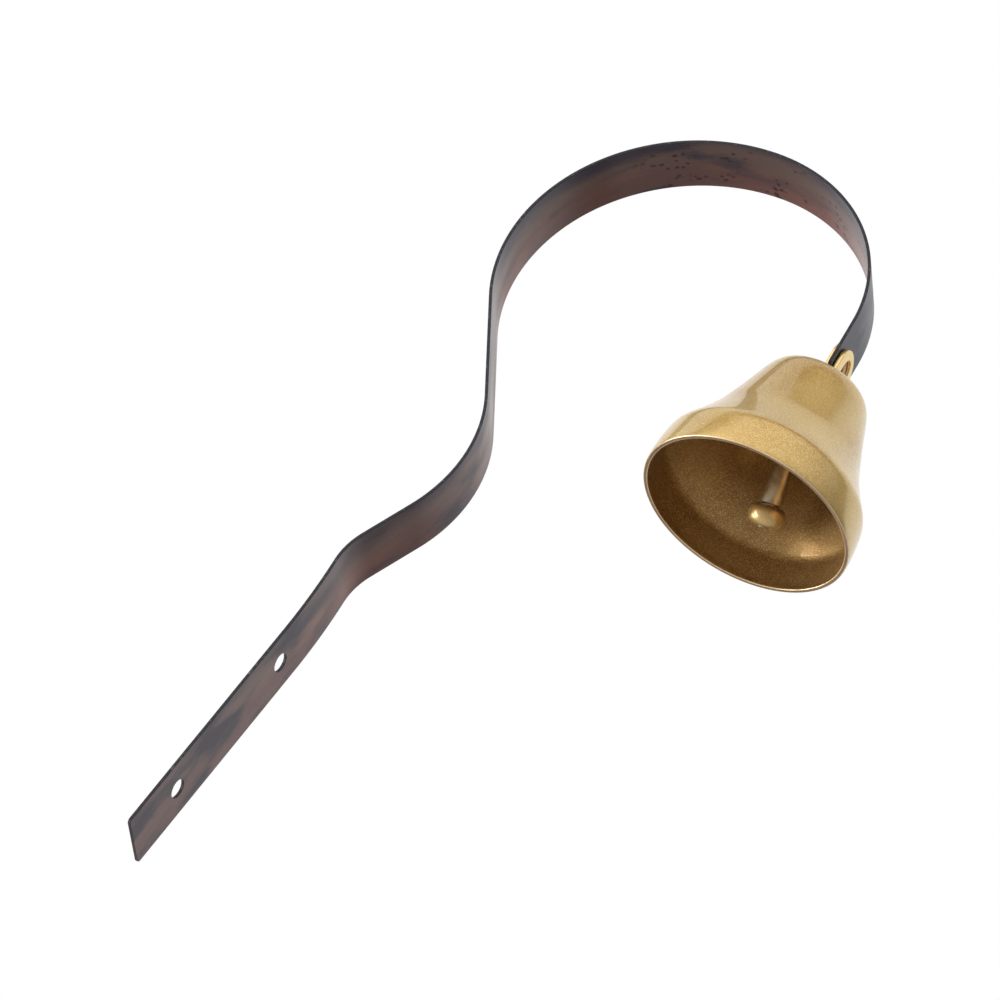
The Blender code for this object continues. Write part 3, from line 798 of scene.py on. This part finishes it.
def dull_zinc():
    """Zinc plating gone dull, in small lighter and darker clouds."""
    finish, tree, shader = new_finish("dull_zinc", 0.38, 0.9)
    where = tree.nodes.new("ShaderNodeTexCoord").outputs["Object"]
    spangle = add_noise(tree, where, 700.0, 3.0)
    colour = add_mix(tree, add_band(tree, spangle, 0.35, 0.7), ZINC_DULL, ZINC_BRIGHT)
    tree.links.new(colour, shader.inputs["Base Color"])
    tree.links.new(add_band(tree, spangle, 0.3, 0.7, 0.30, 0.48), shader.inputs["Roughness"])
    add_bump(tree, shader, spangle, 0.2, FINE_BUMP)
    return finish


zinc = dull_zinc()
for node in ("clapper_staple", "crown_washer", "crown_nut", "clapper_link"):
    fitting = frame["nodes"][node]
    for slot in fitting.material_slots:
        slot.material = zinc


# The clapper: a turned brass rod with an eye on top, hung on the link, and a gold-painted button
# head that is riveted on the rod's spigot and filed flush.
ROD_TOP = (0.0023, -0.0032)
ROD_FOOT = (0.0031, -0.0171)
SPIGOT = (0.0015, -0.0236)
EYE_RADIUS = 0.0026
EYE_WIRE = 0.0009
EYE_CENTRE = -0.0006
HEAD_TOP = (0.0024, -0.0174)
HEAD_WIDEST = (0.0051, -0.0201)
HEAD_FOOT = (0.0018, -0.0234)
CLAPPER_TILT = 32
ROD_DULL = (0.42, 0.33, 0.21)
ROD_BRIGHT = (0.58, 0.49, 0.36)
ROD_LINES = (250, 250, 6000)
HEAD_GOLDS = ((0.44, 0.27, 0.09), (0.54, 0.36, 0.13), (0.74, 0.55, 0.25))

swing = next(joint for joint in frame["joints"] if joint["name"] == "clapper_swing")
tilt = Matrix.Rotation(math.radians(CLAPPER_TILT), 4, "X")
clapper_frame = Matrix.Translation(Vector(swing["pos_m"])) @ hang @ tilt


def finished(name, bm, node, finish):
    """A turned piece put in the clapper's place, with its finish, for the node it stands for."""
    for face in bm.faces:
        face.smooth = True
    bmesh.ops.transform(bm, matrix=clapper_frame, verts=bm.verts)
    piece = new_piece(name, bm)
    piece.data.set_sharp_from_angle(angle=CREASE)
    piece.data.materials.append(finish)
    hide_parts(node)
    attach(piece, "clapper")


def satin_rod():
    """Turned brass gone dull, with fine lines that lie level, so they slant across the leaning rod."""
    finish, tree, shader = new_finish("satin_rod", 0.36, 1.0)
    where = tree.nodes.new("ShaderNodeTexCoord").outputs["Object"]
    dull = add_noise(tree, where, 420.0, 4.0)
    colour = add_mix(tree, add_band(tree, dull, 0.35, 0.70), ROD_DULL, ROD_BRIGHT)
    tree.links.new(colour, shader.inputs["Base Color"])
    tree.links.new(add_band(tree, dull, 0.3, 0.7, 0.32, 0.42), shader.inputs["Roughness"])
    add_bump(tree, shader, add_noise(tree, where, 1.0, 3.0, ROD_LINES), 0.2, FINE_BUMP)
    return finish


top_round = curve_between((ROD_TOP, (ROD_TOP[0] * 0.96, ROD_TOP[1] + 0.0008), (0, ROD_TOP[1] + 0.0009)), 6)
bm = bmesh.new()
turn_round(
    bm,
    top_round[::-1] + [
        (ROD_FOOT[0], ROD_FOOT[1] + 0.0002),
        (ROD_FOOT[0] - 0.0002, ROD_FOOT[1]),
        (SPIGOT[0], ROD_FOOT[1]),
        SPIGOT,
        (SPIGOT[0] * 0.6, SPIGOT[1] - 0.0001),
        (0, SPIGOT[1] - 0.0001),
    ],
    72, closed=False,
)
bar = new_piece("rod_bar", bm)
bm = bmesh.new()
bmesh.ops.create_circle(bm, segments=20, radius=EYE_WIRE)
bmesh.ops.translate(bm, vec=(EYE_RADIUS, 0, 0), verts=bm.verts)
bmesh.ops.rotate(bm, cent=(EYE_RADIUS, 0, 0), matrix=Matrix.Rotation(math.pi / 2, 3, "X"), verts=bm.verts)
bmesh.ops.spin(
    bm, geom=bm.verts[:] + bm.edges[:], cent=(0, 0, 0), axis=(0, 0, 1), angle=math.tau,
    steps=64, use_merge=True,
)
bmesh.ops.rotate(bm, cent=(0, 0, 0), matrix=Matrix.Rotation(math.pi / 2, 3, "X"), verts=bm.verts)
bmesh.ops.translate(bm, vec=(0, 0, EYE_CENTRE), verts=bm.verts)
bmesh.ops.recalc_face_normals(bm, faces=bm.faces)
bm = worked(bar, joined=[new_piece("rod_eye", bm)])
finished("clapper_bar", bm, "clapper_rod", satin_rod())

upper = curve_between((HEAD_TOP, (HEAD_WIDEST[0], HEAD_TOP[1]), HEAD_WIDEST), 12)
lower = curve_between((HEAD_WIDEST, (HEAD_WIDEST[0], HEAD_FOOT[1] + 0.0002), HEAD_FOOT), 12)
bm = bmesh.new()
turn_round(bm, [Vector((HEAD_FOOT[0], HEAD_TOP[1]))] + upper + lower[1:], 96)
head_paint = gold_paint("gold_paint_clapper", *HEAD_GOLDS, 0.7)
finished("clapper_button", bm, "clapper_head", head_paint)
